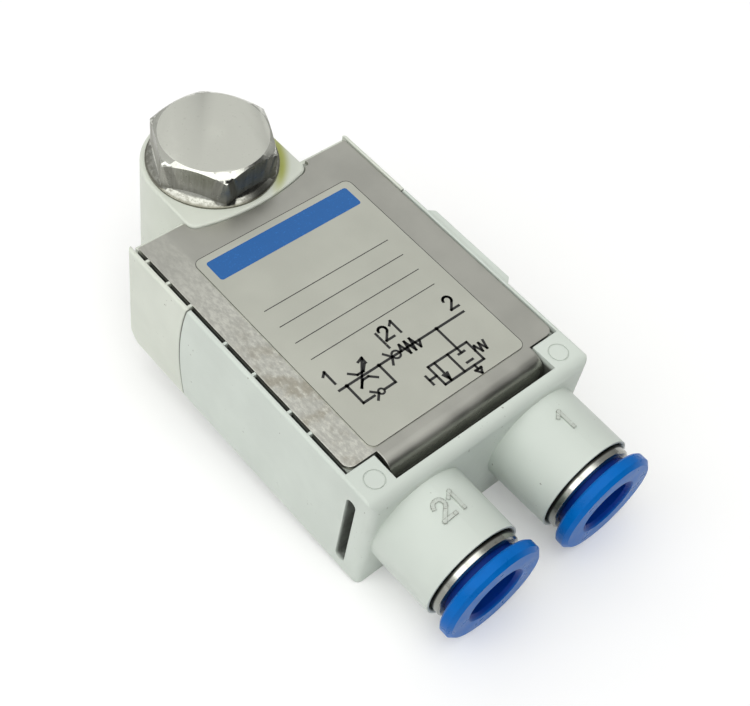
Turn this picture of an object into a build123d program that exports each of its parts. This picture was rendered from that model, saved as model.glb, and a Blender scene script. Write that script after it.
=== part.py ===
from build123d import *
import os
from math import cos, pi, radians, sin

# One-way flow control valve with a piloted check valve and a manual vent.
# It screws into a cylinder port by a hollow bolt and swivels about that bolt.
# Millimetres. +Z is up, +Y points from the tube ports to the hollow bolt, +X is towards port 1's side.
# The origin is on the bolt's axis, in the plane of the housing's underside, where it seats.
# Most lengths along Y are stated as a depth, measured back from the housing's front face.

# How far a cut runs past the surface that it opens, and how far a joined shape sinks into its carrier
over_cut = 1.0
sink = 0.1

# Housing, outside
body_width = 31.0
body_height = 15.5
front_to_bolt = 45.75
main_length = 29.8
seam_bulge = 1.1
side_length = 40.4
front_corner_radius = 1.0
front_top_radius = 1.3
rim_edge_radius = 0.3
lower_edge_radius = 0.6
rear_corner_radius = 0.6
seam_edge = 0.15
rear_lower_radius = 3.6

# Swivel boss at the back
boss_half_width = 8.2
boss_front = 8.25
boss_shoulder = 7.0
boss_corner_radius = 1.2
boss_edge_radius = 0.3

# Cover plate and the tray that it lies in
sheet = 0.5
plate_drop = 0.2
rim = 0.5
left_gap = 0.6
right_gap = 0.1
channel_depth = 1.0
corner_block_depth = 4.77
block_gap = 0.3
plate_back = 5.9
plate_corner_radius = 1.0
notch_half_width = 11.3
notch_gap = 0.4
notch_front = 1.45
roll_radius = 2.0
flange_depth = 2.4
flange_height = 3.0
tongue_half_width = 3.4
tongue_foot = 2.6
window_width = 3.6
window_height = 2.4
window_foot = 4.6
pocket_gap = 0.15
boss_gap = 0.12
relief_radius = 0.45
relief_x = 8.5
relief_back = 6.2
rib_width = 0.35
rib_gap = 0.03
rib_depths = (10.6, 13.8, 19.5, 24.3, 30.3, 34.1, 37.8)

# Label on the cover plate
label_half_width = 11.0
label_front = 5.45
label_back = 34.85
label_corner_radius = 0.9
label_thickness = 0.08

# Small marks and openings of the housing
mark_x = 13.1
mark_depth_from_front = 2.65
mark_radius = 1.15
mark_line = 0.12
mark_sunk = 0.1
slot_front = 2.25
slot_back = 3.6
slot_foot = 1.8
slot_top_drop = 2.25
slot_sunk = 2.9

# Side pad that carries the adjusting screw and the vent button
pad_before_flow = 4.2
pad_behind_vent = 3.0
pad_proud = 1.1
pad_taper = 0.9
pad_foot = 1.2
pad_top_drop = 0.5
pad_edge_radius = 0.25

# Tube ports
port_spacing = 16.73
port_rise = 0.15
barrel_length = 8.3
barrel_root_radius = 6.15
barrel_end_radius = 6.05
mouth_radius = 5.65
mouth_chamfer = 0.15
collar_length = 4.2
collar_proud = 1.05
collar_neck_radius = 5.5
collar_neck_inside = 0.5
collar_lip_radius = 4.72
collar_lip = 1.4
collar_room_radius = 5.05
collar_edge = 0.2
gripper_sheet = 0.25
gripper_radius = 5.3
gripper_land = 4.6
claw_count = 8
claw_slit = 0.5
claw_tip_radius = 2.95
claw_lean = 1.3
cage_length = 2.15
cage_bore_radius = 3.3
tube_seal_wire = 1.8
tube_seal_inner_radius = 2.9
tube_socket_radius = 3.06
tube_socket_length = 3.0

# Release rings
ring_flange_radius = 6.35
ring_flange = 1.6
ring_front_chamfer = 0.45
ring_rear_chamfer = 0.25
ring_travel = 0.8
ring_stop_gap = 0.05
ring_bore_radius = 3.15
ring_lead_in = 0.5
ring_neck_radius = 4.65
ring_bead_radius = 4.95
ring_bead = 0.6
ring_nose_radius = 3.9
ring_nose_tip_radius = 3.5
ring_nose = 2.3

# Hollow bolt, hexagon and collar
hex_across_flats = 13.0
hex_turn = 3.8
hex_height = 4.4
hex_top_circle_radius = 6.27
hex_chamfer_drop = 0.8
bolt_collar_radius = 7.65
bolt_collar_edge = 0.25
bolt_collar_cone = 0.95
bolt_collar_cone_width = 1.5
bolt_shank_radius = 5.0
bolt_clearance = 0.05
bolt_waist_radius = 3.9
bolt_waist_height = 5.6
bolt_drilling_radius = 2.5
bolt_cross_hole_radius = 1.5
bolt_thread_radius = 4.86
bolt_thread_top = -0.2
bolt_thread_length = 5.5
bolt_thread_chamfer = 0.8
bolt_undercut = 1.0
bolt_undercut_radius = 4.3
bolt_drilling_stop = 0.5
annulus_radius = 6.4
shank_seal_wire = 1.4
shank_seal_gap = 0.02
upper_seal_drop = 2.1
lower_seal_height = 2.7
base_seal_wire = 1.3
base_seal_proud = 0.3
base_seal_inner_radius = 5.45
seal_side_gap = 0.05

# Check valve and its pilot piston, behind port 21
valve_bore_radius = 4.6
valve_bore_front = 6.0
pilot_passage_radius = 1.5
piston_front = 6.7
piston_length = 3.2
piston_radius = 4.54
piston_groove = 1.3
piston_groove_radius = 3.6
stem_radius = 1.2
stem_clearance = 0.07
seat_port_offset = 2.1
seat_web = 0.7
seat_length = 4.8
seat_chamber_radius = 2.4
seat_port_radius = 1.1
seat_edge_radius = 3.3
seat_edge = 0.5
poppet_gap = 0.02
poppet_seal = 0.6
poppet_seal_inner_radius = 1.4
poppet_seal_edge = 0.1
poppet_radius = 3.6
poppet_disc = 1.2
poppet_nose_radius = 1.3
poppet_nose = 1.7
poppet_tail_radius = 1.3
poppet_tail = 2.6
push_gap = 0.1
check_spring_wire = 0.5
check_spring_radius = 2.3
check_spring_pitch = 0.82

# Spigots that join the two housings
spigot_length = 4.4
spigot_radius = 4.5
spigot_root = 0.5
spigot_bore_radius = 1.9
spigot_seal_wire = 1.1
spigot_seal_depth = 1.3
peg_radius = 2.4
peg_length = 3.0
peg_hole_gap = 0.1
bridge_passage_radius = 1.7
bridge_start_depth = 35.0

# Adjusting screw and throttle, on the side pad
flow_depth = 16.9
flow_bore_radius = 3.6
flow_bore_foot = 3.4
throttle_length = 4.6
throttle_radius = 2.5
throttle_flange = 0.8
throttle_throat_radius = 1.45
throttle_flare_radius = 2.0
throttle_flare = 1.4
cross_passage_radius = 1.2
port_passage_radius = 1.8
lip_seal_length = 1.6
lip_seal_wall = 0.45
lip_seal_gap = 0.03
bush_start = 10.2
bush_sunk = 0.2
bush_chamfer = 0.3
needle_radius = 1.84
needle_clearance = 0.06
needle_shoulder = 9.4
needle_head = 15.1
needle_tip = 4.8
needle_tip_radius = 0.5
needle_shank_radius = 1.35
needle_cone = 2.6
needle_slot = 0.6
needle_slot_sunk = 1.0
needle_groove_start = 11.6
needle_groove = 1.1
needle_groove_radius = 1.15
needle_seal_gap = 0.02

# Vent button and its valve, on the side pad
vent_behind_flow = 6.4
vent_bore_radius = 2.4
vent_bore_foot = 4.6
vent_seat_start = 8.6
vent_seat = 1.4
vent_seat_bore_radius = 1.05
vent_poppet_radius = 1.85
vent_poppet_disc = 0.8
vent_seal = 0.5
vent_seal_inner_radius = 0.9
vent_stem_radius = 0.75
vent_button_start = 11.6
vent_button_flange = 0.7
vent_button_flange_radius = 2.15
vent_button_radius = 1.5
vent_button_proud = 0.7
vent_button_edge = 0.25
vent_bush_start = 12.9
vent_bush_clearance = 0.07
vent_spring_wire = 0.35
vent_spring_radius = 1.45
vent_spring_pitch = 0.5

# Places worked out from the sizes above
front_y = -front_to_bolt
seam_y = front_y + main_length
side_end_y = front_y + side_length
half_width = body_width / 2
port_x = port_spacing / 2
plate_top = body_height - plate_drop
tray_floor = plate_top - sheet
tray_half_width = half_width - rim
plate_left = -tray_half_width + left_gap
plate_right = tray_half_width - right_gap
plate_shift = (plate_left + plate_right) / 2
port_height = body_height / 2 + port_rise
slot_top = body_height - slot_top_drop
pad_top = body_height - pad_top_drop
hex_top = body_height + hex_height
upper_seal_height = body_height - upper_seal_drop
vent_depth = flow_depth + vent_behind_flow
pad_front = flow_depth - pad_before_flow
pad_back = vent_depth + pad_behind_vent
seat_front = flow_depth - seat_port_offset
block_back_y = front_y + corner_block_depth
plate_front_y = block_back_y + block_gap
barrel_end_y = front_y - barrel_length
cage_front_y = barrel_end_y + collar_length + gripper_sheet
tube_seal_y = cage_front_y + cage_length + tube_seal_wire / 2
tube_socket_y = cage_front_y + cage_length + tube_seal_wire
tube_stop_y = tube_socket_y + tube_socket_length
valve_back_y = seam_y + seam_bulge
spigot_front_y = valve_back_y - spigot_length
pad_face_x = half_width + pad_proud
seat_face_y = front_y + seat_front + seat_length
flow_y = front_y + flow_depth
vent_y = front_y + vent_depth
base_seal_groove_radius = base_seal_inner_radius + base_seal_wire + seal_side_gap


def block(x_range, y_range, z_range):
    """A rectangular block between three pairs of limits."""
    size = [high - low for low, high in (x_range, y_range, z_range)]
    centre = [(high + low) / 2 for low, high in (x_range, y_range, z_range)]
    return Pos(*centre) * Box(*size)


def rod(start, end, radius):
    """A round bar from one point to another."""
    start, end = Vector(*start), Vector(*end)
    return extrude(Plane(origin=start, z_dir=end - start) * Circle(radius), (end - start).length)


def port_line_rod(x, start_y, end_y, radius):
    """A round bar along Y at the height of the tube ports."""
    return rod((x, start_y, port_height), (x, end_y, port_height), radius)


def cross_rod(y, start_x, end_x, radius):
    """A round bar along X at the height of the tube ports."""
    return rod((start_x, y, port_height), (end_x, y, port_height), radius)


def turned(outline, origin, direction):
    """Spin an outline of (distance along the line, radius) points about a line through the origin given."""
    across = Vector(1, 0, 0) if direction[2] else Vector(0, 0, 1)
    plane = Plane(origin=origin, x_dir=direction, z_dir=Vector(*direction).cross(across))
    return revolve(make_face(plane * Polyline(*outline, close=True)), axis=Axis(origin, direction))


def round_seal(origin, direction, inner_radius, wire):
    """An O-ring."""
    return Plane(origin=origin, z_dir=direction).location * Torus(inner_radius + wire / 2, wire / 2)


def coil_spring(origin, direction, length, radius, wire, pitch):
    """A round-wire compression spring whose wire stays inside the length given."""
    path = Helix(pitch=pitch, height=length - 2 * wire, radius=radius)
    section = Plane(origin=path @ 0, z_dir=path % 0) * Circle(wire / 2)
    spring = sweep(section, path=path, is_frenet=True)
    return Plane(origin=origin, z_dir=direction).location * Pos(0, 0, wire) * spring


def boss_outline(grow=0.0):
    """Plan view of the swivel boss, made larger all round by the amount given."""
    side = boss_half_width + grow
    shoulder = boss_shoulder + grow
    front = Line((-side, 0), (-side, -shoulder)) + Line((side, 0), (side, -shoulder))
    front += ThreePointArc((-side, -shoulder), (0, -boss_front - grow), (side, -shoulder))
    front += ThreePointArc((-side, 0), (0, side), (side, 0))
    face = make_face(front)
    corners = face.vertices().sort_by(Axis.Y)[:2]
    return fillet(corners, boss_corner_radius + grow)


def housing_form(side, plan):
    """The outer form of a housing, where its side view, its plan and the rounded front view meet."""
    front_view = Pos(0, body_height / 2) * Rectangle(body_width, body_height)
    front_view = fillet(front_view.vertices().group_by(Axis.Y)[-1], rim_edge_radius)
    front_view = fillet(front_view.vertices().group_by(Axis.Y)[0], lower_edge_radius)
    form = extrude(Plane.YZ * make_face(side), half_width, both=True)
    form &= extrude(Plane.XZ * front_view, 2 * front_to_bolt, both=True)
    return form & extrude(plan, body_height)


def tray():
    """The room for the cover plate, with a deeper channel all round the plate's edges."""
    across = (-tray_half_width, tray_half_width)
    channel_floor = tray_floor - channel_depth
    room = block(across, (block_back_y, over_cut), (channel_floor, body_height + over_cut))
    return room - block((plate_left, plate_right), (plate_front_y, 2 * over_cut), (0, tray_floor))


def main_housing():
    """The front moulding, with both tube barrels, the tray walls, the side pad and every valve bore."""
    front_top = (front_y + front_top_radius, body_height)
    side = Line((front_y, 0), (front_y, body_height - front_top_radius))
    side += TangentArc(side @ 1, front_top, tangent=(0, 1))
    side += Line(front_top, (seam_y, body_height))
    side += ThreePointArc((seam_y, body_height), (valve_back_y, body_height / 2), (seam_y, 0))
    side += Line((seam_y, 0), (front_y, 0))
    plan = flat_sheet(-half_width, half_width, front_y, valve_back_y)
    plan = fillet(plan.vertices().group_by(Axis.Y)[0], front_corner_radius)
    form = housing_form(side, plan)
    form = chamfer(form.faces().sort_by(Axis.Y)[-1].edges(), seam_edge)
    pad_plan = Polyline(
        (half_width - rim, front_y + pad_front),
        (half_width, front_y + pad_front),
        (pad_face_x, front_y + pad_front + pad_taper),
        (pad_face_x, front_y + pad_back - pad_taper),
        (half_width, front_y + pad_back),
        (half_width - rim, front_y + pad_back),
        close=True,
    )
    pad = Pos(0, 0, pad_foot) * extrude(make_face(pad_plan), pad_top - pad_foot)
    pad = fillet(pad.edges().filter_by(Axis.Z, reverse=True).group_by(Axis.X)[-1], pad_edge_radius)
    body = form + pad
    for x in (-port_x, port_x):
        body += turned(
            [(0, 0), (0, barrel_root_radius), (barrel_length, barrel_end_radius), (barrel_length, 0)],
            (x, front_y, port_height),
            (0, -1, 0),
        )
    body -= tray() + plate_pockets()
    body += tray_ribs() & form
    body -= side_slot()
    for x in (-mark_x, mark_x):
        centre = (x, front_y + mark_depth_from_front, body_height - mark_sunk)
        body -= Pos(*centre) * extrude(Circle(mark_radius) - Circle(mark_radius - mark_line), over_cut)
    for x in (-port_x, port_x):
        body -= port_bore(x)
    return body - pilot_bores() - side_bores() - peg_hole()


def plate_pockets():
    """Room for the cover plate's rolled front edge, its flange and its tongue."""
    flange_y = front_y + flange_depth
    pocket_back_y = flange_y + sheet + pocket_gap
    flange_foot = plate_top - flange_height - pocket_gap
    across = (-notch_half_width, notch_half_width)
    above = body_height + over_cut
    notch = block(across, (front_y + notch_front, pocket_back_y), (flange_foot, above))
    notch += block(across, (pocket_back_y, block_back_y + sink), (plate_top - roll_radius, above))
    notch += block(
        (plate_shift - tongue_half_width - pocket_gap, plate_shift + tongue_half_width + pocket_gap),
        (flange_y - pocket_gap, pocket_back_y),
        (tongue_foot - pocket_gap, flange_foot + sink),
    )
    return notch


def tray_ribs():
    """Small ribs on the left wall of the tray, which centre the cover plate."""
    ribs = Part()
    for depth in rib_depths:
        ribs += tray_rib(front_y + depth)
    return ribs


def tray_rib(y):
    """One rib of the tray's left wall."""
    across = (-tray_half_width - sink, plate_left - rib_gap)
    foot = tray_floor - channel_depth - sink
    return block(across, (y - rib_width / 2, y + rib_width / 2), (foot, plate_top))


def side_slot():
    """The upright round-ended slot low in the left wall, near the front."""
    half = (slot_back - slot_front) / 2
    y = front_y + slot_front + half
    start = -half_width - over_cut
    depth = slot_sunk + over_cut
    slot = block((start, start + depth), (y - half, y + half), (slot_foot + half, slot_top - half))
    for z in (slot_foot + half, slot_top - half):
        slot += rod((start, y, z), (start + depth, y, z), half)
    return slot


def port_bore(x):
    """The stepped bore of a tube port, from the barrel's mouth to the tube's stop."""
    stations = [
        (barrel_end_y - over_cut, mouth_radius + mouth_chamfer),
        (barrel_end_y, mouth_radius + mouth_chamfer),
        (barrel_end_y + mouth_chamfer, mouth_radius),
        (barrel_end_y + collar_length, mouth_radius),
        (barrel_end_y + collar_length, gripper_radius),
        (cage_front_y + cage_length, gripper_radius),
        (cage_front_y + cage_length, tube_seal_inner_radius + tube_seal_wire),
        (tube_socket_y, tube_seal_inner_radius + tube_seal_wire),
        (tube_socket_y, tube_socket_radius),
        (tube_stop_y, tube_socket_radius),
    ]
    outline = [(stations[0][0], 0)] + stations + [(tube_stop_y, 0)]
    return turned(outline, (x, 0, port_height), (0, 1, 0))


def pilot_bores():
    """The pilot passage behind port 21 and the long bore that holds the piston, seat and check valve."""
    bore_y = front_y + valve_bore_front
    passage = port_line_rod(-port_x, tube_stop_y - sink, bore_y + sink, pilot_passage_radius)
    return passage + port_line_rod(-port_x, bore_y, valve_back_y + over_cut, valve_bore_radius)


def side_bores():
    """Bores of the adjusting screw and the vent, with the passages that link them to the other chambers."""
    outside = pad_face_x + over_cut
    cut = port_line_rod(port_x, tube_stop_y - sink, flow_y, port_passage_radius)
    cut += cross_rod(flow_y, flow_bore_foot, outside, flow_bore_radius)
    cut += cross_rod(flow_y, -port_x, flow_bore_foot + sink, cross_passage_radius)
    cut += cross_rod(vent_y, vent_bore_foot, outside, vent_bore_radius)
    cut += cross_rod(vent_y, -port_x, vent_bore_foot + sink, cross_passage_radius)
    return cut


def peg_hole():
    """The blind hole for the rear housing's locating peg."""
    start_y = valve_back_y - peg_length - peg_hole_gap - seam_bulge
    return port_line_rod(port_x, start_y, valve_back_y + over_cut, peg_radius + peg_hole_gap)


def banjo_housing():
    """The rear moulding, with the swivel boss, the end of the tray and the two spigots."""
    side = ThreePointArc((seam_y, 0), (valve_back_y, body_height / 2), (seam_y, body_height))
    side += Line((seam_y, body_height), (side_end_y, body_height))
    side += Line((side_end_y, body_height), (side_end_y, rear_lower_radius))
    foot_y = side_end_y - rear_lower_radius
    side += RadiusArc((side_end_y, rear_lower_radius), (foot_y, 0), rear_lower_radius)
    side += Line((foot_y, 0), (seam_y, 0))
    plan = flat_sheet(-half_width, half_width, seam_y, side_end_y)
    plan = fillet(plan.vertices().group_by(Axis.Y)[-1], rear_corner_radius)
    form = housing_form(side, plan)
    form = chamfer(form.faces().sort_by(Axis.Y)[0].edges(), seam_edge)
    boss = extrude(boss_outline(), body_height)
    boss = fillet(boss.faces().sort_by(Axis.Z)[-1].edges(), boss_edge_radius)
    body = form - tray() + boss
    body += tray_ribs() & form
    body += spigot() + peg()
    body -= rod((0, 0, -over_cut), (0, 0, body_height + over_cut), bolt_shank_radius + bolt_clearance)
    half_waist = bolt_waist_height / 2
    body -= rod((0, 0, port_height - half_waist), (0, 0, port_height + half_waist), annulus_radius)
    for height in (lower_seal_height, upper_seal_height):
        body -= seal_groove(height)
    body -= rod((0, 0, -over_cut), (0, 0, base_seal_wire - base_seal_proud), base_seal_groove_radius)
    return body - bridge_passage()


def seal_groove(height):
    """The groove of one shank seal, in the bore of the boss."""
    outer = bolt_shank_radius + shank_seal_gap + shank_seal_wire
    half = shank_seal_wire / 2 + seal_side_gap
    return rod((0, 0, height - half), (0, 0, height + half), outer)


def spigot():
    """The hollow spigot that plugs the check valve's bore and is the seat of its spring."""
    groove = spigot_radius - spigot_seal_wire + (valve_bore_radius - spigot_radius)
    half = spigot_seal_wire / 2 + seal_side_gap
    outline = [
        (0, 0),
        (0, spigot_radius),
        (spigot_seal_depth - half, spigot_radius),
        (spigot_seal_depth - half, groove),
        (spigot_seal_depth + half, groove),
        (spigot_seal_depth + half, spigot_radius),
        (spigot_length + spigot_root, spigot_radius),
        (spigot_length + spigot_root, 0),
    ]
    return turned(outline, (-port_x, spigot_front_y, port_height), (0, 1, 0))


def peg():
    """The solid peg that locates the rear housing on the other side."""
    start_y = valve_back_y - peg_length - seam_bulge
    return port_line_rod(port_x, start_y, valve_back_y + spigot_root, peg_radius)


def bridge_passage():
    """The passage from the check valve through the spigot to the bolt's annulus."""
    turn_y = front_y + bridge_start_depth
    passage = port_line_rod(-port_x, spigot_front_y - over_cut, turn_y, spigot_bore_radius)
    passage += Pos(-port_x, turn_y, port_height) * Sphere(spigot_bore_radius)
    return passage + rod((-port_x, turn_y, port_height), (0, 0, port_height), bridge_passage_radius)


def flat_sheet(left, right, front, back):
    """A rectangle of sheet in plan view, between its four edges."""
    return Pos((left + right) / 2, (front + back) / 2) * Rectangle(right - left, back - front)


def cover_plate():
    """The sheet metal cover, rolled down at the front into a flange with a locking tongue."""
    roll_start = front_y + flange_depth + roll_radius
    roll_half = notch_half_width - notch_gap
    roll_range = (plate_shift - roll_half, plate_shift + roll_half)
    top = flat_sheet(plate_left, plate_right, plate_front_y, -plate_back)
    top = fillet(top.vertices().group_by(Axis.Y)[0], plate_corner_radius)
    top += flat_sheet(*roll_range, roll_start, plate_front_y + sheet)
    top -= boss_outline(boss_gap)
    top -= Pos(relief_x, -relief_back) * Circle(relief_radius)
    plate = Pos(0, 0, tray_floor) * extrude(top, sheet)
    flange_y = front_y + flange_depth
    roll_foot = plate_top - roll_radius
    edge = Line((roll_start, plate_top), (roll_start, tray_floor))
    edge += RadiusArc((roll_start, tray_floor), (flange_y + sheet, roll_foot), -(roll_radius - sheet))
    edge += Line((flange_y + sheet, roll_foot), (flange_y, roll_foot))
    edge += RadiusArc((flange_y, roll_foot), (roll_start, plate_top), roll_radius)
    plate += Pos(roll_range[0], 0, 0) * extrude(Plane.YZ * make_face(edge), 2 * roll_half)
    flange_range = (flange_y, flange_y + sheet)
    plate += block(roll_range, flange_range, (plate_top - flange_height, roll_foot))
    tongue_range = (plate_shift - tongue_half_width, plate_shift + tongue_half_width)
    tongue = block(tongue_range, flange_range, (tongue_foot, plate_top - flange_height))
    window = block(
        (plate_shift - window_width / 2, plate_shift + window_width / 2),
        (flange_y - over_cut, flange_y + sheet + over_cut),
        (window_foot, window_foot + window_height),
    )
    return plate + tongue - window


def rating_label():
    """The printed label, stuck to the cover plate."""
    centre_y = front_y + (label_front + label_back) / 2
    plan = RectangleRounded(2 * label_half_width, label_back - label_front, label_corner_radius)
    return Pos(0, centre_y, plate_top) * extrude(plan, label_thickness)


def port_collar(x):
    """The metal collar pressed into a barrel, which keeps the release ring in."""
    front = -collar_proud
    outline = [
        (front, collar_lip_radius),
        (front, collar_neck_radius - collar_edge),
        (front + collar_edge, collar_neck_radius),
        (collar_neck_inside, collar_neck_radius),
        (collar_neck_inside, mouth_radius),
        (collar_length, mouth_radius),
        (collar_length, collar_room_radius),
        (front + collar_lip, collar_room_radius),
        (front + collar_lip, collar_lip_radius),
    ]
    return turned(outline, (x, barrel_end_y, port_height), (0, 1, 0))


def port_gripper(x):
    """The spring steel gripping ring, with claws that lean in and back towards the tube's stop."""
    outline = [
        (0, gripper_radius),
        (gripper_sheet, gripper_radius),
        (gripper_sheet, gripper_land),
        (claw_lean + gripper_sheet, claw_tip_radius),
        (claw_lean, claw_tip_radius),
        (0, gripper_land),
    ]
    ring = turned(outline, (x, barrel_end_y + collar_length, port_height), (0, 1, 0))
    slit = block(
        (-claw_slit / 2, claw_slit / 2),
        (-over_cut, claw_lean + over_cut),
        (claw_tip_radius - over_cut, gripper_land),
    )
    place = Pos(x, barrel_end_y + collar_length, port_height)
    for index in range(claw_count):
        ring -= place * Rot(0, 360 / claw_count * (index + 0.5), 0) * slit
    return ring


def claw_cage(x):
    """The plastic ring behind the claws, which also holds the tube seal in its bore."""
    back_off = claw_lean + gripper_sheet
    outline = [
        (0, gripper_radius),
        (cage_length, gripper_radius),
        (cage_length, cage_bore_radius),
        (back_off, cage_bore_radius),
        (gripper_sheet, gripper_land),
        (0, gripper_land),
    ]
    return turned(outline, (x, cage_front_y, port_height), (0, 1, 0))


def tube_seal(x):
    """The O-ring that seals on the tube."""
    return round_seal((x, tube_seal_y, port_height), (0, 1, 0), tube_seal_inner_radius, tube_seal_wire)


def release_ring(x):
    """The release ring: a flange to press on, a bead that keeps it in, and a nose that lifts the claws."""
    flange_back = -collar_proud - ring_travel - ring_stop_gap
    flange_front = flange_back - ring_flange
    bead = -collar_proud + collar_lip + ring_stop_gap
    nose = bead + ring_bead
    outline = [
        (flange_front, ring_bore_radius + ring_lead_in),
        (flange_front, ring_flange_radius - ring_front_chamfer),
        (flange_front + ring_front_chamfer, ring_flange_radius),
        (flange_back - ring_rear_chamfer, ring_flange_radius),
        (flange_back, ring_flange_radius - ring_rear_chamfer),
        (flange_back, ring_neck_radius),
        (bead, ring_neck_radius),
        (bead, ring_bead_radius),
        (nose, ring_bead_radius),
        (nose, ring_nose_radius),
        (nose + ring_nose - (ring_nose_radius - ring_nose_tip_radius), ring_nose_radius),
        (nose + ring_nose, ring_nose_tip_radius),
        (nose + ring_nose, ring_bore_radius),
        (flange_front + ring_lead_in, ring_bore_radius),
    ]
    return turned(outline, (x, barrel_end_y, port_height), (0, 1, 0))


def hollow_bolt():
    """The hexagon bolt, drilled up its middle and across, with a waist for the air to flow round."""
    corner_radius = hex_across_flats / 2 / cos(pi / 6)
    head = Pos(0, 0, body_height) * extrude(
        RegularPolygon(corner_radius, 6, rotation=hex_turn), hex_top - body_height
    )
    slope = hex_chamfer_drop / (corner_radius - hex_top_circle_radius)
    wide = corner_radius + over_cut
    cap = turned(
        [
            (body_height - over_cut, 0),
            (body_height - over_cut, wide),
            (hex_top - slope * (wide - hex_top_circle_radius), wide),
            (hex_top, hex_top_circle_radius),
            (hex_top, 0),
        ],
        (0, 0, 0),
        (0, 0, 1),
    )
    bolt = head & cap
    waist_low = port_height - bolt_waist_height / 2
    waist_high = port_height + bolt_waist_height / 2
    thread_foot = bolt_thread_top - bolt_thread_length
    undercut_top = bolt_thread_top + bolt_undercut
    collar_top = body_height + bolt_collar_edge
    bolt += turned(
        [
            (thread_foot, 0),
            (thread_foot, bolt_thread_radius - bolt_thread_chamfer),
            (thread_foot + bolt_thread_chamfer, bolt_thread_radius),
            (bolt_thread_top, bolt_thread_radius),
            (bolt_thread_top, bolt_undercut_radius),
            (undercut_top, bolt_undercut_radius),
            (undercut_top, bolt_shank_radius),
            (waist_low, bolt_shank_radius),
            (waist_low, bolt_waist_radius),
            (waist_high, bolt_waist_radius),
            (waist_high, bolt_shank_radius),
            (body_height, bolt_shank_radius),
            (body_height, bolt_collar_radius),
            (collar_top, bolt_collar_radius),
            (collar_top + bolt_collar_cone, bolt_collar_radius - bolt_collar_cone_width),
            (collar_top + bolt_collar_cone, 0),
        ],
        (0, 0, 0),
        (0, 0, 1),
    )
    drilling_top = waist_high - bolt_drilling_stop
    bolt -= rod((0, 0, thread_foot - over_cut), (0, 0, drilling_top), bolt_drilling_radius)
    for angle in (0, 90):
        turn = radians(angle)
        reach = Vector(cos(turn), sin(turn), 0) * bolt_shank_radius
        middle = Vector(0, 0, port_height)
        bolt -= rod(tuple(middle - reach), tuple(middle + reach), bolt_cross_hole_radius)
    return bolt


def shank_seal(height):
    """One of the two O-rings between the boss and the bolt's shank."""
    return round_seal((0, 0, height), (0, 0, 1), bolt_shank_radius + shank_seal_gap, shank_seal_wire)


def base_seal():
    """The face seal on the underside, round the bolt."""
    height = base_seal_wire / 2 - base_seal_proud
    return round_seal((0, 0, height), (0, 0, 1), base_seal_inner_radius, base_seal_wire)


def spigot_seal():
    """The O-ring of the hollow spigot."""
    place = (-port_x, spigot_front_y + spigot_seal_depth, port_height)
    return round_seal(place, (0, 1, 0), valve_bore_radius - spigot_seal_wire, spigot_seal_wire)


def pilot_piston():
    """The pilot piston, with a stem that reaches through the seat to the check valve's nose."""
    stem_end = seat_front + seat_length - poppet_nose - push_gap
    groove_front = piston_front + (piston_length - piston_groove) / 2
    outline = [
        (piston_front, 0),
        (piston_front, piston_radius),
        (groove_front, piston_radius),
        (groove_front, piston_groove_radius),
        (groove_front + piston_groove, piston_groove_radius),
        (groove_front + piston_groove, piston_radius),
        (piston_front + piston_length, piston_radius),
        (piston_front + piston_length, stem_radius),
        (stem_end, stem_radius),
        (stem_end, 0),
    ]
    return turned(outline, (-port_x, front_y, port_height), (0, 1, 0))


def pilot_piston_seal():
    """The O-ring in the pilot piston's groove."""
    wire = piston_radius - piston_groove_radius
    place = (-port_x, front_y + piston_front + piston_length / 2, port_height)
    return round_seal(place, (0, 1, 0), piston_groove_radius, wire)


def check_seat():
    """The insert that guides the pilot stem, lets the air in from both sides and carries the seat."""
    guide = stem_radius + stem_clearance
    outline = [
        (0, guide),
        (0, valve_bore_radius),
        (seat_length - seat_edge, valve_bore_radius),
        (seat_length, seat_edge_radius),
        (seat_length, seat_chamber_radius),
        (seat_web, seat_chamber_radius),
        (seat_web, guide),
    ]
    seat = turned(outline, (-port_x, front_y + seat_front, port_height), (0, 1, 0))
    reach = valve_bore_radius + over_cut
    return seat - cross_rod(flow_y, -port_x - reach, -port_x + reach, seat_port_radius)


def check_poppet():
    """The check valve's body, with a nose that the pilot stem pushes and a tail inside the spring."""
    back = poppet_gap + poppet_seal + poppet_disc
    outline = [
        (-poppet_nose, 0),
        (-poppet_nose, poppet_nose_radius),
        (poppet_gap + poppet_seal, poppet_nose_radius),
        (poppet_gap + poppet_seal, poppet_radius),
        (back, poppet_radius),
        (back, poppet_tail_radius),
        (back + poppet_tail, poppet_tail_radius),
        (back + poppet_tail, 0),
    ]
    return turned(outline, (-port_x, seat_face_y, port_height), (0, 1, 0))


def check_poppet_seal():
    """The rubber ring on the check valve's front, which closes on the seat."""
    outline = [
        (poppet_gap, poppet_seal_inner_radius),
        (poppet_gap, poppet_radius - poppet_seal_edge),
        (poppet_gap + poppet_seal, poppet_radius),
        (poppet_gap + poppet_seal, poppet_seal_inner_radius),
    ]
    return turned(outline, (-port_x, seat_face_y, port_height), (0, 1, 0))


def check_spring():
    """The spring that closes the check valve, between its disc and the spigot."""
    start_y = seat_face_y + poppet_gap + poppet_seal + poppet_disc
    return coil_spring(
        (-port_x, start_y, port_height),
        (0, 1, 0),
        spigot_front_y - start_y,
        check_spring_radius,
        check_spring_wire,
        check_spring_pitch,
    )


def throttle_insert():
    """The insert at the bottom of the adjusting screw's bore, with the throat that the needle enters."""
    outline = [
        (0, throttle_throat_radius),
        (0, flow_bore_radius - lip_seal_wall),
        (throttle_flange, flow_bore_radius - lip_seal_wall),
        (throttle_flange, throttle_radius),
        (throttle_length, throttle_radius),
        (throttle_length, throttle_flare_radius),
        (throttle_length - throttle_flare, throttle_throat_radius),
    ]
    return turned(outline, (flow_bore_foot, flow_y, port_height), (1, 0, 0))


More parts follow.
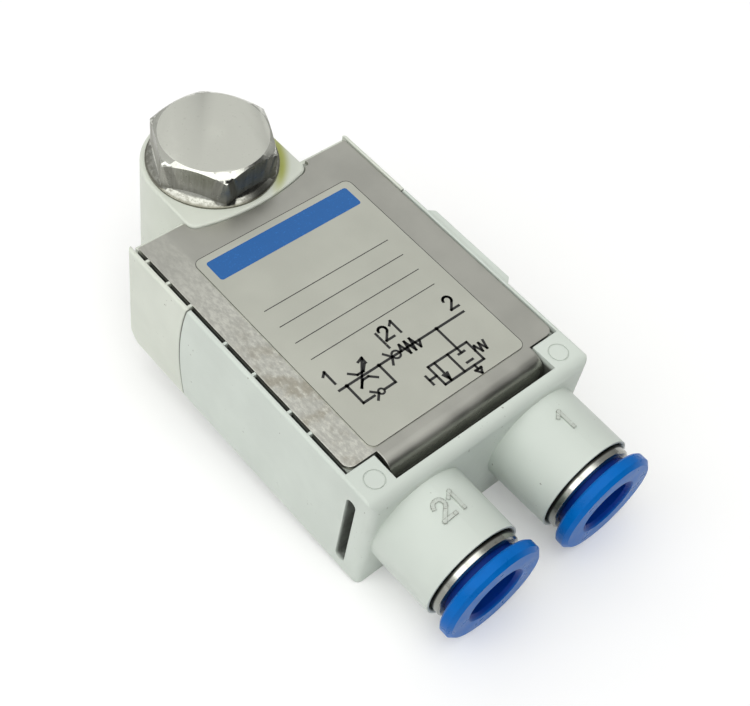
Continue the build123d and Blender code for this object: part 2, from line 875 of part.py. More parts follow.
def bypass_lip_seal():
    """The lip seal round the throttle insert, which opens for air towards the cylinder only."""
    start = throttle_flange
    end = start + lip_seal_length
    lip = flow_bore_radius - lip_seal_gap
    outline = [
        (start, throttle_radius),
        (start, lip - lip_seal_wall / 2),
        (end, lip),
        (end, lip - lip_seal_wall),
        (start + lip_seal_wall, throttle_radius + lip_seal_wall / 2),
        (end, throttle_radius + lip_seal_wall / 2),
        (end, throttle_radius),
    ]
    return turned(outline, (flow_bore_foot, flow_y, port_height), (1, 0, 0))


def flow_bush():
    """The brass bush in the side pad that the adjusting screw turns in."""
    end = pad_face_x - bush_sunk
    inner = needle_radius + needle_clearance
    outline = [
        (bush_start, inner),
        (bush_start, flow_bore_radius),
        (end - bush_chamfer, flow_bore_radius),
        (end, flow_bore_radius - bush_chamfer),
        (end, inner + bush_chamfer),
        (end - bush_chamfer, inner),
    ]
    return turned(outline, (0, flow_y, port_height), (1, 0, 0))


def flow_needle():
    """The adjusting screw, with a driver slot outside and a tapered needle inside."""
    outline = [
        (needle_tip, 0),
        (needle_tip, needle_tip_radius),
        (needle_tip + needle_cone, needle_shank_radius),
        (needle_shoulder, needle_shank_radius),
        (needle_shoulder, needle_radius),
        (needle_groove_start, needle_radius),
        (needle_groove_start, needle_groove_radius),
        (needle_groove_start + needle_groove, needle_groove_radius),
        (needle_groove_start + needle_groove, needle_radius),
        (needle_head, needle_radius),
        (needle_head, 0),
    ]
    needle = turned(outline, (0, flow_y, port_height), (1, 0, 0))
    slot = block(
        (needle_head - needle_slot_sunk, needle_head + over_cut),
        (-needle_radius - over_cut, needle_radius + over_cut),
        (-needle_slot / 2, needle_slot / 2),
    )
    return needle - Pos(0, flow_y, port_height) * slot


def flow_needle_seal():
    """The O-ring in the adjusting screw's groove."""
    wire = needle_radius + needle_clearance - needle_seal_gap - needle_groove_radius
    place = (needle_groove_start + needle_groove / 2, flow_y, port_height)
    return round_seal(place, (1, 0, 0), needle_groove_radius, wire)


def vent_seat_ring():
    """The ring that the vent valve closes against."""
    outline = [
        (vent_seat_start, vent_seat_bore_radius),
        (vent_seat_start, vent_bore_radius),
        (vent_seat_start + vent_seat, vent_bore_radius),
        (vent_seat_start + vent_seat, vent_seat_bore_radius),
    ]
    return turned(outline, (0, vent_y, port_height), (1, 0, 0))


def vent_poppet():
    """The vent valve's disc and stem, behind the seat ring."""
    disc_end = vent_seat_start - poppet_gap - vent_seal
    disc_start = disc_end - vent_poppet_disc
    outline = [
        (disc_start, 0),
        (disc_start, vent_poppet_radius),
        (disc_end, vent_poppet_radius),
        (disc_end, vent_stem_radius),
        (vent_button_start, vent_stem_radius),
        (vent_button_start, 0),
    ]
    return turned(outline, (0, vent_y, port_height), (1, 0, 0))


def vent_poppet_seal():
    """The rubber ring on the vent valve's disc."""
    end = vent_seat_start - poppet_gap
    outline = [
        (end - vent_seal, vent_seal_inner_radius),
        (end - vent_seal, vent_poppet_radius),
        (end, vent_poppet_radius - poppet_seal_edge),
        (end, vent_seal_inner_radius),
    ]
    return turned(outline, (0, vent_y, port_height), (1, 0, 0))


def vent_button():
    """The push button of the manual vent, which stands a little proud of the side pad."""
    end = pad_face_x + vent_button_proud
    outline = [
        (vent_button_start, 0),
        (vent_button_start, vent_button_flange_radius),
        (vent_button_start + vent_button_flange, vent_button_flange_radius),
        (vent_button_start + vent_button_flange, vent_button_radius),
        (end - vent_button_edge, vent_button_radius),
        (end, vent_button_radius - vent_button_edge),
        (end, 0),
    ]
    return turned(outline, (0, vent_y, port_height), (1, 0, 0))


def vent_bush():
    """The bush that guides the vent button and keeps it in."""
    end = pad_face_x - bush_sunk
    inner = vent_button_radius + vent_bush_clearance
    outline = [
        (vent_bush_start, inner),
        (vent_bush_start, vent_bore_radius),
        (end - bush_chamfer, vent_bore_radius),
        (end, vent_bore_radius - bush_chamfer),
        (end, inner),
    ]
    return turned(outline, (0, vent_y, port_height), (1, 0, 0))


def vent_spring():
    """The spring that closes the vent valve."""
    disc_start = vent_seat_start - poppet_gap - vent_seal - vent_poppet_disc
    return coil_spring(
        (vent_bore_foot, vent_y, port_height),
        (1, 0, 0),
        disc_start - vent_bore_foot,
        vent_spring_radius,
        vent_spring_wire,
        vent_spring_pitch,
    )


def all_pieces():
    """Every piece of the valve by the name of its node."""
    pieces = {
        "main_housing": main_housing(),
        "banjo_housing": banjo_housing(),
        "cover_plate": cover_plate(),
        "rating_label": rating_label(),
        "hollow_bolt": hollow_bolt(),
        "upper_shank_seal": shank_seal(upper_seal_height),
        "lower_shank_seal": shank_seal(lower_seal_height),
        "base_seal": base_seal(),
        "spigot_seal": spigot_seal(),
        "pilot_piston": pilot_piston(),
        "pilot_piston_seal": pilot_piston_seal(),
        "check_seat": check_seat(),
        "check_poppet": check_poppet(),
        "check_poppet_seal": check_poppet_seal(),
        "check_spring": check_spring(),
        "throttle_insert": throttle_insert(),
        "bypass_lip_seal": bypass_lip_seal(),
        "flow_bush": flow_bush(),
        "flow_needle": flow_needle(),
        "flow_needle_seal": flow_needle_seal(),
        "vent_seat_ring": vent_seat_ring(),
        "vent_poppet": vent_poppet(),
        "vent_poppet_seal": vent_poppet_seal(),
        "vent_button": vent_button(),
        "vent_bush": vent_bush(),
        "vent_spring": vent_spring(),
    }
    for name, x in (("port_1", port_x), ("port_21", -port_x)):
        pieces[name + "_collar"] = port_collar(x)
        pieces[name + "_gripper"] = port_gripper(x)
        pieces[name + "_claw_cage"] = claw_cage(x)
        pieces[name + "_tube_seal"] = tube_seal(x)
        pieces[name + "_release_ring"] = release_ring(x)
    return pieces


os.makedirs("parts", exist_ok=True)
for node, piece in all_pieces().items():
    export_step(piece, os.path.join("parts", node + ".step"))
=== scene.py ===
"""Visible dressing of a one-way flow control valve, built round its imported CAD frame.

Every size is in metres in the row frame: +Z up, +Y from the tube ports to the hollow bolt.
"""

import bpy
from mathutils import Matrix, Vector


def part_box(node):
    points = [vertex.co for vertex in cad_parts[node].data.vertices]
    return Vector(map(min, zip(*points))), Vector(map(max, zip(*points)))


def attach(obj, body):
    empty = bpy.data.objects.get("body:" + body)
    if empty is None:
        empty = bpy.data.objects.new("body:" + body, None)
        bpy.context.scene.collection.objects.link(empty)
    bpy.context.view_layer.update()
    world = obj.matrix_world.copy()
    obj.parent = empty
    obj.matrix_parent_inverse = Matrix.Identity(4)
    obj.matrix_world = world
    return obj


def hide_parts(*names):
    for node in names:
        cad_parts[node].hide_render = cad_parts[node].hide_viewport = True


bl_info = {
    "name": "One-way flow control valve",
    "version": (1, 0, 0),
    "blender": (4, 5, 0),
    "location": "3D Viewport > Sidebar > Valve",
    "description": "Dresses the packed valve with its finishes, print, thread and studio",
    "category": "Object",
}

from math import atan2, cos, pi, radians, sin

import bmesh
import bpy
from mathutils import Matrix, Vector

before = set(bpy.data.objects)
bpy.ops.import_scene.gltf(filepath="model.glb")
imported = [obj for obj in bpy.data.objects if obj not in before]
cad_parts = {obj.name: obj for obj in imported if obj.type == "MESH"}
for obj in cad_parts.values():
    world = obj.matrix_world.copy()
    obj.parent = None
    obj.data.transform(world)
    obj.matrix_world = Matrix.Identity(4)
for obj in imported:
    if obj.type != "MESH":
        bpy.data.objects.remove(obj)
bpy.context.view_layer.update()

MM = 0.001
Z_AXIS = Vector((0, 0, 1))
housing_low, housing_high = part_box("main_housing")
plate_low, plate_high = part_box("cover_plate")
label_low, label_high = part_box("rating_label")
bolt_low, bolt_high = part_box("hollow_bolt")
collar_low, collar_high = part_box("port_1_collar")
port_x = (collar_low.x + collar_high.x) / 2
port_z = (collar_low.z + collar_high.z) / 2
mouth_y = housing_low.y
ring_front_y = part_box("port_1_release_ring")[0].y
ring_back_y = ring_front_y + 1.6 * MM
ring_bore_radius = 3.15 * MM
barrel_radius = 6.1 * MM
seam_y = -15.95 * MM
seam_bulge = 1.1 * MM
wall_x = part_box("banjo_housing")[0].x
tray_floor = plate_high.z - 0.5 * MM
tray_front_y = plate_low.y
tray_back_y = plate_high.y
slot_front_y = -43.6 * MM
slot_back_y = -42.0 * MM
slot_top = 13.6 * MM
slot_foot = 0.5 * MM
hexagon_foot = 16.1 * MM
collar_foot = plate_high.z + 0.1 * MM
bolt_collar_radius = 7.65 * MM


def length(name, description, default, **extra):
    """A property that holds a length in metres."""
    return bpy.props.FloatProperty(
        name=name, description=description, default=default, unit="LENGTH", precision=5, **extra
    )


def colour(name, description, default):
    """A property that holds a linear colour."""
    return bpy.props.FloatVectorProperty(
        name=name, description=description, default=default, subtype="COLOR", size=3, min=0, max=1
    )


def amount(name, description, default, **extra):
    """A property that holds a plain number."""
    return bpy.props.FloatProperty(name=name, description=description, default=default, **extra)


def direction(name, description, default):
    """A property that holds a direction in the row frame."""
    return bpy.props.FloatVectorProperty(
        name=name, description=description, default=default, subtype="DIRECTION", size=3
    )


class ValveStudio(bpy.types.PropertyGroup):
    camera_place: bpy.props.FloatVectorProperty(
        name="Camera place", description="Where the camera stands", subtype="TRANSLATION",
        default=(-68.56 * MM, -84.68 * MM, 125.46 * MM),
    )
    camera_turn: bpy.props.FloatVectorProperty(
        name="Camera turn", description="The camera's rotation vector, its view's +Z pointing ahead",
        default=(2.4019, -0.8473, 0.4530),
    )
    lens: amount("Lens", "Focal length in millimetres on a 36 mm wide sensor", 64.126)
    floor_slope: amount("Floor slope", "How much the floor falls for each metre along +Y", 0.1367)
    floor_touch_y: length("Floor contact along Y", "Where the release rings touch the floor", -57.1 * MM)
    floor_touch_z: length("Floor contact height", "Height of the floor under the release rings", 1.52 * MM)
    floor_half: length("Floor half width", "Half the width of the floor", 0.9)
    floor_colour: colour("Floor", "Colour of the floor", (0.84, 0.84, 0.84))
    floor_lift: amount("Floor lift", "Strength of the white that the floor shows to the camera", 0.18)
    sky_colour: colour("Sky", "Colour of the soft light all round", (1.0, 1.0, 0.985))
    sky_level: amount("Sky level", "Strength of the soft light all round", 0.62)
    softbox_level: amount("Softbox", "Strength that the overhead softbox adds", 1.5)
    softbox_toward: direction("Softbox direction", "Where the overhead softbox hangs", (-0.15, -0.25, 0.95))
    wall_toward: direction("Dark wall direction", "Middle of the dark front wall", (0.47, -0.79, 0.40))
    gap_toward: direction("Dark gap direction", "Middle of the gap beside the softbox", (0.62, -0.25, 0.75))
    key_watts: amount("Key lamp", "Power of the soft lamp at the upper left", 0.25)
    key_place: bpy.props.FloatVectorProperty(
        name="Key lamp place", description="Where the soft lamp stands", subtype="TRANSLATION",
        default=(-0.32, 0.10, 0.30),
    )
    key_size: length("Key lamp size", "Diameter of the soft lamp", 0.26)


class ValveFinishes(bpy.types.PropertyGroup):
    housing: colour("Housing", "Moulded body, pale grey", (0.635, 0.69, 0.635))
    boss: colour("Rear moulding", "Moulded swivel housing, a little creamier", (0.68, 0.715, 0.635))
    # Painted shade for the tray's gaps and the slot; it also colours the dark seam line.
    gap_shade_and_seam: colour("Grime", "Dark dirt in the gaps and the slot", (0.035, 0.035, 0.027))
    stain: colour("Stain", "Yellow-green stain beside the bolt", (0.42, 0.45, 0.10))
    # Scuffs and dust on the mouldings; darkened, the same colour gives painted shade at the collars' mouths
    # and round the bolt's collar.
    scuff_and_shade: colour("Scuff", "Dark scuffs and dust on the mouldings", (0.16, 0.155, 0.12))
    sheet: colour("Cover sheet", "Plated steel sheet", (0.50, 0.50, 0.455))
    sheet_stain: colour("Sheet tarnish", "Warm tarnish on the sheet", (0.30, 0.255, 0.17))
    foil: colour("Label foil", "Silver label", (0.59, 0.60, 0.53))
    nickel: colour("Nickel", "Plated bolt and collars", (0.655, 0.665, 0.605))
    # Painted dark reflection on the bolt's flats and painted shade round its collar.
    dark_reflection_and_shade: colour("Oxide", "Dull brown film on the bolt's flats", (0.10, 0.095, 0.07))
    ring: colour("Release ring", "Blue acetal", (0.0, 0.14, 0.52))
    # Painted shade for the bore and the neck behind the flange.
    ring_shade: colour("Release ring inside", "Blue acetal in the bore and at the neck", (0.0, 0.012, 0.20))
    print_blue: colour("Print blue", "Plain bar at the head of the label", (0.008, 0.11, 0.36))
    ink: colour("Ink", "Black print", (0.012, 0.012, 0.012))
    brass: colour("Brass", "Adjusting screw and bushes", (0.70, 0.50, 0.20))
    steel: colour("Spring steel", "Springs and gripping rings", (0.42, 0.41, 0.39))
    rubber: colour("Rubber", "Nitrile seals", (0.016, 0.016, 0.016))
    inner: colour("Inner plastic", "Pistons, poppets and cages", (0.30, 0.30, 0.29))
    button: colour("Button", "Vent button", (0.55, 0.55, 0.53))


class ValvePrint(bpy.types.PropertyGroup):
    thickness: length("Ink thickness", "How far the print stands on the label", 0.012 * MM)
    bar_y: length("Bar place", "Middle of the blue bar along Y", -13.25 * MM)
    bar_half_width: length("Bar half width", "Half the blue bar's width", 9.9 * MM)
    bar_half_depth: length("Bar half depth", "Half the blue bar's depth", 1.45 * MM)
    line: length("Line width", "Width of the drawing's lines", 0.30 * MM)
    thin_line: length("Thin line width", "Width of the field rules", 0.1 * MM)
    digit: length("Digit size", "Height of the port numbers on the label", 1.75 * MM)
    main_line_y: length("Main line place", "The diagram's main line along Y", -33.0 * MM)
    line_left: length("Main line start", "Left end of the diagram's main line", -9.0 * MM)
    line_right: length("Main line end", "Right end of the diagram's main line", 8.6 * MM)
    throttle_x: length("Throttle place", "Middle of the throttle along X", -5.8 * MM)
    bypass_drop: length("Bypass drop", "How far the bypass lies in front of the main line", 2.6 * MM)
    check_x: length("Check valve place", "Middle of the check valve along X", -1.2 * MM)
    vent_x: length("Vent valve place", "Middle of the vent valve along X", 3.2 * MM)
    vent_drop: length("Vent drop", "How far the vent valve lies in front of the main line", 4.55 * MM)
    field_y: length("Field place", "The first blank field's rule along Y", -20.6 * MM)
    field_step: length("Field step", "Distance from one blank field's rule to the next", 2.57 * MM)
    barrel_digit: length("Barrel digit size", "Height of the raised port numbers", 2.2 * MM)
    barrel_line: length("Barrel digit line", "Width of the raised port numbers' strokes", 0.42 * MM)
    barrel_digit_y: length("Barrel digit place", "Middle of the raised port numbers along Y", -49.1 * MM)
    barrel_digit_proud: length("Barrel digit height", "How far the port numbers stand out", 0.2 * MM)


class ValveThread(bpy.types.PropertyGroup):
    pitch: length("Pitch", "Pitch of the G1/8 thread", 0.907 * MM)
    crest_radius: length("Crest radius", "Outside radius of the thread", 4.855 * MM)
    root_radius: length("Root radius", "Radius at the thread's root", 4.28 * MM)
    top: length("Top", "Height at which the thread ends, at its undercut", -0.2 * MM)


class Wire:
    """A shader socket whose arithmetic adds Math nodes."""

    def __init__(self, finish, socket):
        self.finish = finish
        self.socket = socket

    def math(self, operation, *others):
        settings = {"operation": operation}
        sockets = dict(enumerate(others))
        return self.finish.add("ShaderNodeMath", settings, sockets)[0]

    def __add__(self, other):
        return self.math("ADD", self, other)

    __radd__ = __add__

    def __mul__(self, other):
        return self.math("MULTIPLY", self, other)

    __rmul__ = __mul__

    def __sub__(self, other):
        return self.math("SUBTRACT", self, other)

    def __rsub__(self, other):
        return self.math("SUBTRACT", other, self)

    def __truediv__(self, other):
        return self.math("DIVIDE", self, other)

    def __gt__(self, other):
        return self.math("GREATER_THAN", self, other)

    def __lt__(self, other):
        return self.math("LESS_THAN", self, other)

    def __pow__(self, other):
        return self.math("POWER", self, other)


class Finish:
    """The node tree of one finish, with a Principled shader at its end."""

    def __init__(self, name, tree=None):
        if tree is None:
            self.material = bpy.data.materials.new(name)
            self.material.use_nodes = True
            tree = self.material.node_tree
        self.tree = tree
        tree.nodes.clear()

    def add(self, kind, settings=None, sockets=None):
        """Add a node with its settings and then its sockets, and return its outputs as wires."""
        node = self.tree.nodes.new(kind)
        for key, value in (settings or {}).items():
            setattr(node, key, value)
        for key, value in (sockets or {}).items():
            if isinstance(value, Wire):
                self.tree.links.new(value.socket, node.inputs[key])
            elif hasattr(value, "__len__") and node.inputs[key].type == "RGBA":
                node.inputs[key].default_value = (*value, 1)
            else:
                node.inputs[key].default_value = value
        outputs = {socket.name: Wire(self, socket) for socket in node.outputs}
        outputs.update({index: Wire(self, socket) for index, socket in enumerate(node.outputs)})
        return outputs

    def place(self, scale=(1, 1, 1)):
        """Object coordinates in metres, scaled."""
        where = self.add("ShaderNodeTexCoord")["Object"]
        if scale == (1, 1, 1):
            return where
        return self.add("ShaderNodeMapping", None, {"Vector": where, "Scale": scale})[0]

    def noise(self, scale, detail=3.0, roughness=0.55, at=None):
        where = at or self.place()
        sockets = {"Vector": where, "Scale": scale, "Detail": detail, "Roughness": roughness}
        return self.add("ShaderNodeTexNoise", None, sockets)["Fac"]

    def axes(self, at=None):
        """The three Object coordinates as separate wires."""
        split = self.add("ShaderNodeSeparateXYZ", None, {0: at or self.place()})
        return split["X"], split["Y"], split["Z"]

    def fade(self, value, low, high, to_low=0.0, to_high=1.0):
        """Smooth step of a value between two limits."""
        sockets = {"Value": value, "From Min": low, "From Max": high, "To Min": to_low, "To Max": to_high}
        return self.add("ShaderNodeMapRange", {"interpolation_type": "SMOOTHSTEP"}, sockets)["Result"]

    def blend(self, share, first, second):
        """Mix two colours by a share from 0 to 1."""
        settings = {"data_type": "RGBA"}
        return self.add("ShaderNodeMix", settings, {0: share, 6: first, 7: second})[2]

    def rounded_edge(self, radius):
        """Rounded normals for the sharp edges, and a mask that is high on those edges."""
        rounded = self.add("ShaderNodeBevel", {"samples": 6}, {"Radius": radius})["Normal"]
        flat = self.add("ShaderNodeNewGeometry")["Normal"]
        same = self.add("ShaderNodeVectorMath", {"operation": "DOT_PRODUCT"}, {0: rounded, 1: flat})["Value"]
        return rounded, self.fade(same, 0.995, 0.93)

    def bump(self, height, distance, strength=1.0, normal=None):
        sockets = {"Height": height, "Distance": distance, "Strength": strength}
        if normal is not None:
            sockets["Normal"] = normal
        return self.add("ShaderNodeBump", None, sockets)["Normal"]

    def principled(self, **sockets):
        """Finish the tree with a Principled shader. Underscores in the names stand for spaces."""
        values = {key.replace("_", " "): value for key, value in sockets.items()}
        shader = self.add("ShaderNodeBsdfPrincipled", None, values)[0]
        self.add("ShaderNodeOutputMaterial", None, {"Surface": shader})
        return self.material


def moulded_plastic(name, base, colours, stained=False):
    """Pale moulded plastic with a fine spark-eroded grain, specks, scuffed edges with a painted highlight, a
    dark seam line and painted shade in the tray's gaps and the slot.
    """
    finish = Finish(name)
    rounded, edge = finish.rounded_edge(0.12 * MM)
    broad = finish.noise(130.0, 2.0)
    patch = finish.noise(700.0, 4.0, 0.65)
    x, y, z = finish.axes()
    deep, pale = [c * 0.965 for c in base], [min(1, c * 1.02) for c in base]
    tone = finish.blend(finish.fade(broad, 0.35, 0.68), deep, pale)
    on_barrels = finish.fade(y, mouth_y + 10 * MM, mouth_y + 6 * MM)
    thick = finish.noise(260.0, 2.0) + on_barrels * 0.06
    speck = finish.fade(finish.noise(2300.0, 1.0), 0.70, 0.76) * finish.fade(thick, 0.58, 0.66)
    tone = finish.blend(speck * 0.7, tone, colours.scuff_and_shade)
    tone = finish.blend(finish.fade(patch, 0.60, 0.72) * edge * 0.3, tone, colours.scuff_and_shade)
    # Painted highlight: the sharp edges are lightened.
    tone = finish.blend(edge * 0.35, tone, [min(1, c * 1.12) for c in base])
    # Painted shade: the tray's recess round the sheet, below its rim, is darkened.
    tray = finish.fade(z, tray_floor + 0.35 * MM, tray_floor - 0.3 * MM) * (z > tray_floor - 2.8 * MM)
    tray = tray * (x > wall_x + 0.45 * MM) * (x < -wall_x - 0.45 * MM)
    tray = tray * finish.fade(y, tray_front_y - 1.3 * MM, tray_front_y - 0.7 * MM)
    tray = tray * (y < tray_back_y + 0.05 * MM)
    # Painted shade in the slot of the corner block, a little uneven.
    slot = finish.fade(x, wall_x + 0.05 * MM, wall_x + 0.5 * MM) * (x < wall_x + 3.5 * MM)
    slot = slot * (y > slot_front_y) * (y < slot_back_y) * (z > slot_foot) * (z < slot_top)
    slot = slot * finish.fade(patch, 0.2, 0.65, 1.0, 0.7)
    rise = z / (housing_high.z / 2) - 1.0
    seam = y - seam_y - seam_bulge * (1.0 - rise * rise)
    seam = finish.fade(seam.math("ABSOLUTE", seam), 0.12 * MM, 0.05 * MM) * 0.85
    # The tray and the slot get painted shade, the seam its dark line.
    shade_and_seam = tray.math("MAXIMUM", tray, slot.math("MAXIMUM", slot, seam))
    tone = finish.blend(shade_and_seam * 0.92, tone, colours.gap_shade_and_seam)
    if stained:
        reach = (x * x + y * y) ** 0.5
        side = x * cos(radians(-35)) + y * sin(radians(-35))
        ring = finish.fade(reach, 9.1 * MM, 7.9 * MM) * finish.fade(z, 14.8 * MM, 15.3 * MM)
        stain = ring * finish.fade(side, 6.2 * MM, 7.9 * MM) * finish.fade(broad, 0.2, 0.5, 0.6, 1.0)
        tone = finish.blend(stain, tone, colours.stain)
    rough = finish.fade(patch, 0.3, 0.7, 0.40, 0.52) - edge * 0.08
    grain = finish.noise(7500.0, 2.0, 0.6) + patch * 0.35
    normal = finish.bump(grain, 0.008 * MM, 0.35, rounded)
    return finish.principled(Base_Color=tone, Roughness=rough, Normal=normal, IOR=1.49)


def cover_sheet(name, base, tarnish):
    """Plated sheet, faintly blotched, with painted sheen and glints in brushed streaks down its left strip,
    browned towards the front, and painted highlights on its roll and edges.
    """
    finish = Finish(name)
    rounded, edge = finish.rounded_edge(0.10 * MM)
    blotch = finish.noise(240.0, 3.0, 0.5)
    cloud = finish.noise(420.0, 4.0, 0.6)
    brushed = finish.noise(2600.0, 4.0, 0.7, finish.place((1.0, 0.45, 1.0)))
    x, y, z = finish.axes()
    left_strip = finish.fade(x, label_low.x + 0.5 * MM, label_low.x - 0.2 * MM)
    left_strip = left_strip * finish.fade(y, tray_back_y, tray_back_y - 14 * MM, 0.35, 1.0)
    front = left_strip * finish.fade(y, tray_back_y - 11 * MM, tray_back_y - 24 * MM)
    roll = finish.fade(y, tray_front_y + 0.7 * MM, tray_front_y + 0.1 * MM)
    # A lightened copy of the sheet's colour, for painted sheen and highlights.
    pale = [min(1, c * 1.75) for c in base]
    tone = finish.blend(finish.fade(blotch, 0.3, 0.72), [c * 0.95 for c in base], [c * 1.04 for c in base])
    # Painted sheen: the left strip is lightened in brushed streaks, more towards its front.
    tone = finish.blend(left_strip * finish.fade(brushed, 0.35, 0.68, 0.12, 0.62), tone, pale)
    tone = finish.blend(front * finish.fade(cloud, 0.46, 0.66) * 0.5, tone, tarnish)
    # Painted glints in brushed streaks towards the front of the strip.
    tone = finish.blend(front * finish.fade(brushed, 0.55, 0.70) * 0.5, tone, pale)
    # Painted sheen on the rolled front edge.
    tone = finish.blend(roll * finish.fade(brushed, 0.35, 0.7, 0.0, 0.12), tone, pale)
    # Painted highlight on the edges.
    tone = finish.blend(edge * 0.6, tone, pale)
    rough = finish.fade(blotch, 0.3, 0.7, 0.30, 0.38) + left_strip * 0.04 - roll * 0.12
    height = blotch * 0.5 * (1.0 - roll) + brushed * (front * 0.8)
    normal = finish.bump(height, 0.025 * MM, 0.8, rounded)
    return finish.principled(Base_Color=tone, Roughness=rough, Normal=normal, Metallic=1.0)


def label_foil(name, base):
    """Silver printed foil, smoother than the sheet under it."""
    finish = Finish(name)
    fine = finish.noise(5200.0, 2.0, 0.6)
    broad = finish.noise(160.0, 2.0)
    tone = finish.blend(finish.fade(broad, 0.3, 0.7), [c * 0.96 for c in base], [c * 1.03 for c in base])
    rough = finish.fade(fine, 0.3, 0.7, 0.36, 0.46)
    normal = finish.bump(fine + broad * 6.0, 0.004 * MM, 0.4)
    return finish.principled(Base_Color=tone, Roughness=rough, Normal=normal, Metallic=0.85)


def nickel(name, base, scuff_and_shade):
    """Plate on the collars with a painted reflection, light along the upper-left side and dark elsewhere,
    painted highlights on its edges and a dark line of painted shade at the barrel's mouth.
    """
    finish = Finish(name)
    rounded, edge = finish.rounded_edge(0.06 * MM)
    patch = finish.noise(1100.0, 4.0, 0.65)
    x, y, z = finish.axes()
    aside = x.math("ABSOLUTE", x) - port_x
    turned = (x > 0.0) * 2.0 - 1.0
    # Painted reflection: light along the collar's upper-left side, darkened elsewhere.
    toward = aside * turned * -0.55 + (z - port_z) * 0.83
    bright = finish.fade(toward + patch * 0.6 * MM, 4.9 * MM, 5.7 * MM)
    # Painted shade: a dark line in the gap where the collar comes out of the barrel's mouth.
    mouth = finish.fade(y, mouth_y - 0.40 * MM, mouth_y - 0.20 * MM)
    unlit_tone = [c * 0.42 for c in base]
    tone = finish.blend(bright, unlit_tone, base)
    tone = finish.blend(finish.fade(patch, 0.62, 0.72) * 0.6, tone, scuff_and_shade)
    # Painted highlight on the edges.
    tone = finish.blend(edge * 0.35, tone, [min(1, c * 1.2) for c in base])
    tone = finish.blend(mouth * 0.95, tone, [c * 0.1 for c in scuff_and_shade])
    rough = finish.fade(patch, 0.3, 0.7, 0.12, 0.24)
    normal = finish.bump(patch, 0.008 * MM, 0.5, rounded)
    return finish.principled(Base_Color=tone, Roughness=rough, Normal=normal, Metallic=1.0)


def bolt_nickel(name, base, scuff_and_shade, dark_reflection_and_shade):
    """The hollow bolt's plate: turned rings on a top painted lighter, drawn flats with a painted dark
    reflection, painted shade at the collar and painted highlights on its edges.
    """
    finish = Finish(name)
    rounded, edge = finish.rounded_edge(0.05 * MM)
    x, y, z = finish.axes()
    facing = finish.axes(finish.add("ShaderNodeNewGeometry")["True Normal"])[2]
    flat = finish.fade(facing, 0.45, 0.15) * finish.fade(z, hexagon_foot - 0.1 * MM, hexagon_foot + 0.1 * MM)
    reach = (x * x + y * y) ** 0.5
    rings = {"W": reach, "Scale": 5200.0}
    turning = finish.add("ShaderNodeTexNoise", {"noise_dimensions": "1D"}, rings)["Fac"]
    on_top = finish.fade(z, bolt_high.z - 0.03 * MM, bolt_high.z - 0.01 * MM)
    drawn = finish.noise(2600.0, 3.0, 0.6, finish.place((1.0, 1.0, 0.10)))
    patch = finish.noise(1900.0, 4.0, 0.65)
    # Painted shade on the hexagon just above the collar, mottled by noise.
    foot = finish.fade(z, hexagon_foot + 0.6 * MM, hexagon_foot - 0.1 * MM)
    foot = foot * finish.fade(z, collar_foot - 0.1 * MM, collar_foot + 0.1 * MM)
    # Painted shadow: a dark line round the collar's outer edge.
    collar_shadow_line = foot * finish.fade(reach, bolt_collar_radius - 0.3 * MM, bolt_collar_radius - 0.05 * MM)
    # Painted highlight: the top face is lighter than the rest of the bolt.
    tone = finish.blend(on_top, [c * 0.9 for c in base], [min(1, c * 1.12) for c in base])
    # Painted dark reflection on the hexagon's flats.
    tone = finish.blend(flat * finish.fade(drawn, 0.2, 0.8, 0.54, 0.72), tone, dark_reflection_and_shade)
    tone = finish.blend(foot * finish.fade(patch, 0.40, 0.62, 0.35, 0.65), tone, dark_reflection_and_shade)
    # Random scuffs, with the painted shadow line round the collar.
    tone = finish.blend(finish.fade(patch, 0.60, 0.70) * 0.12 + collar_shadow_line * 0.8, tone, scuff_and_shade)
    # Painted highlight on the edges, weaker on the flats.
    tone = finish.blend(edge * 0.5 * (1.0 - flat * 0.6), tone, [min(1, c * 1.25) for c in base])
    centre = finish.fade(reach, 2.2 * MM, 0.1 * MM)
    rough = finish.fade(patch, 0.3, 0.7, 0.14, 0.26) + on_top * (0.14 + centre * 0.12) + flat * 0.12
    height = drawn * (1.0 - on_top) * 0.25 + turning * on_top * (0.30 + centre * 0.7)
    normal = finish.bump(height, 0.010 * MM, 0.6, rounded)
    return finish.principled(Base_Color=tone, Roughness=rough, Normal=normal, Metallic=1.0)


def acetal(name, base, shade):
    """Glossy blue acetal with slight flow marks, painted highlights on its edges and painted shade in the
    bore and behind the flange.
    """
    finish = Finish(name)
    rounded, edge = finish.rounded_edge(0.09 * MM)
    flow = finish.noise(500.0, 4.0, 0.6)
    x, y, z = finish.axes()
    aside = x.math("ABSOLUTE", x) - port_x
    reach = (aside * aside + (z - port_z) * (z - port_z)) ** 0.5
    # Painted shade in the bore and on the neck behind the flange.
    bore = finish.fade(reach, ring_bore_radius + 0.7 * MM, ring_bore_radius + 0.15 * MM)
    neck = finish.fade(y, ring_back_y - 0.05 * MM, ring_back_y + 0.1 * MM)
    tone = finish.blend(finish.fade(flow, 0.3, 0.7), [c * 0.88 for c in base], base)
    # Painted highlight on the edges.
    tone = finish.blend(edge * 0.35, tone, [min(1, 0.01 + c * 1.15) for c in base])
    tone = finish.blend(bore.math("MAXIMUM", bore, neck) * 0.85, tone, shade)
    rough = finish.fade(flow, 0.3, 0.7, 0.26, 0.38)
    normal = finish.bump(flow + finish.noise(3600.0, 2.0) * 0.15, 0.02 * MM, 0.4, rounded)
    return finish.principled(Base_Color=tone, Roughness=rough, Normal=normal, Specular_IOR_Level=0.1)


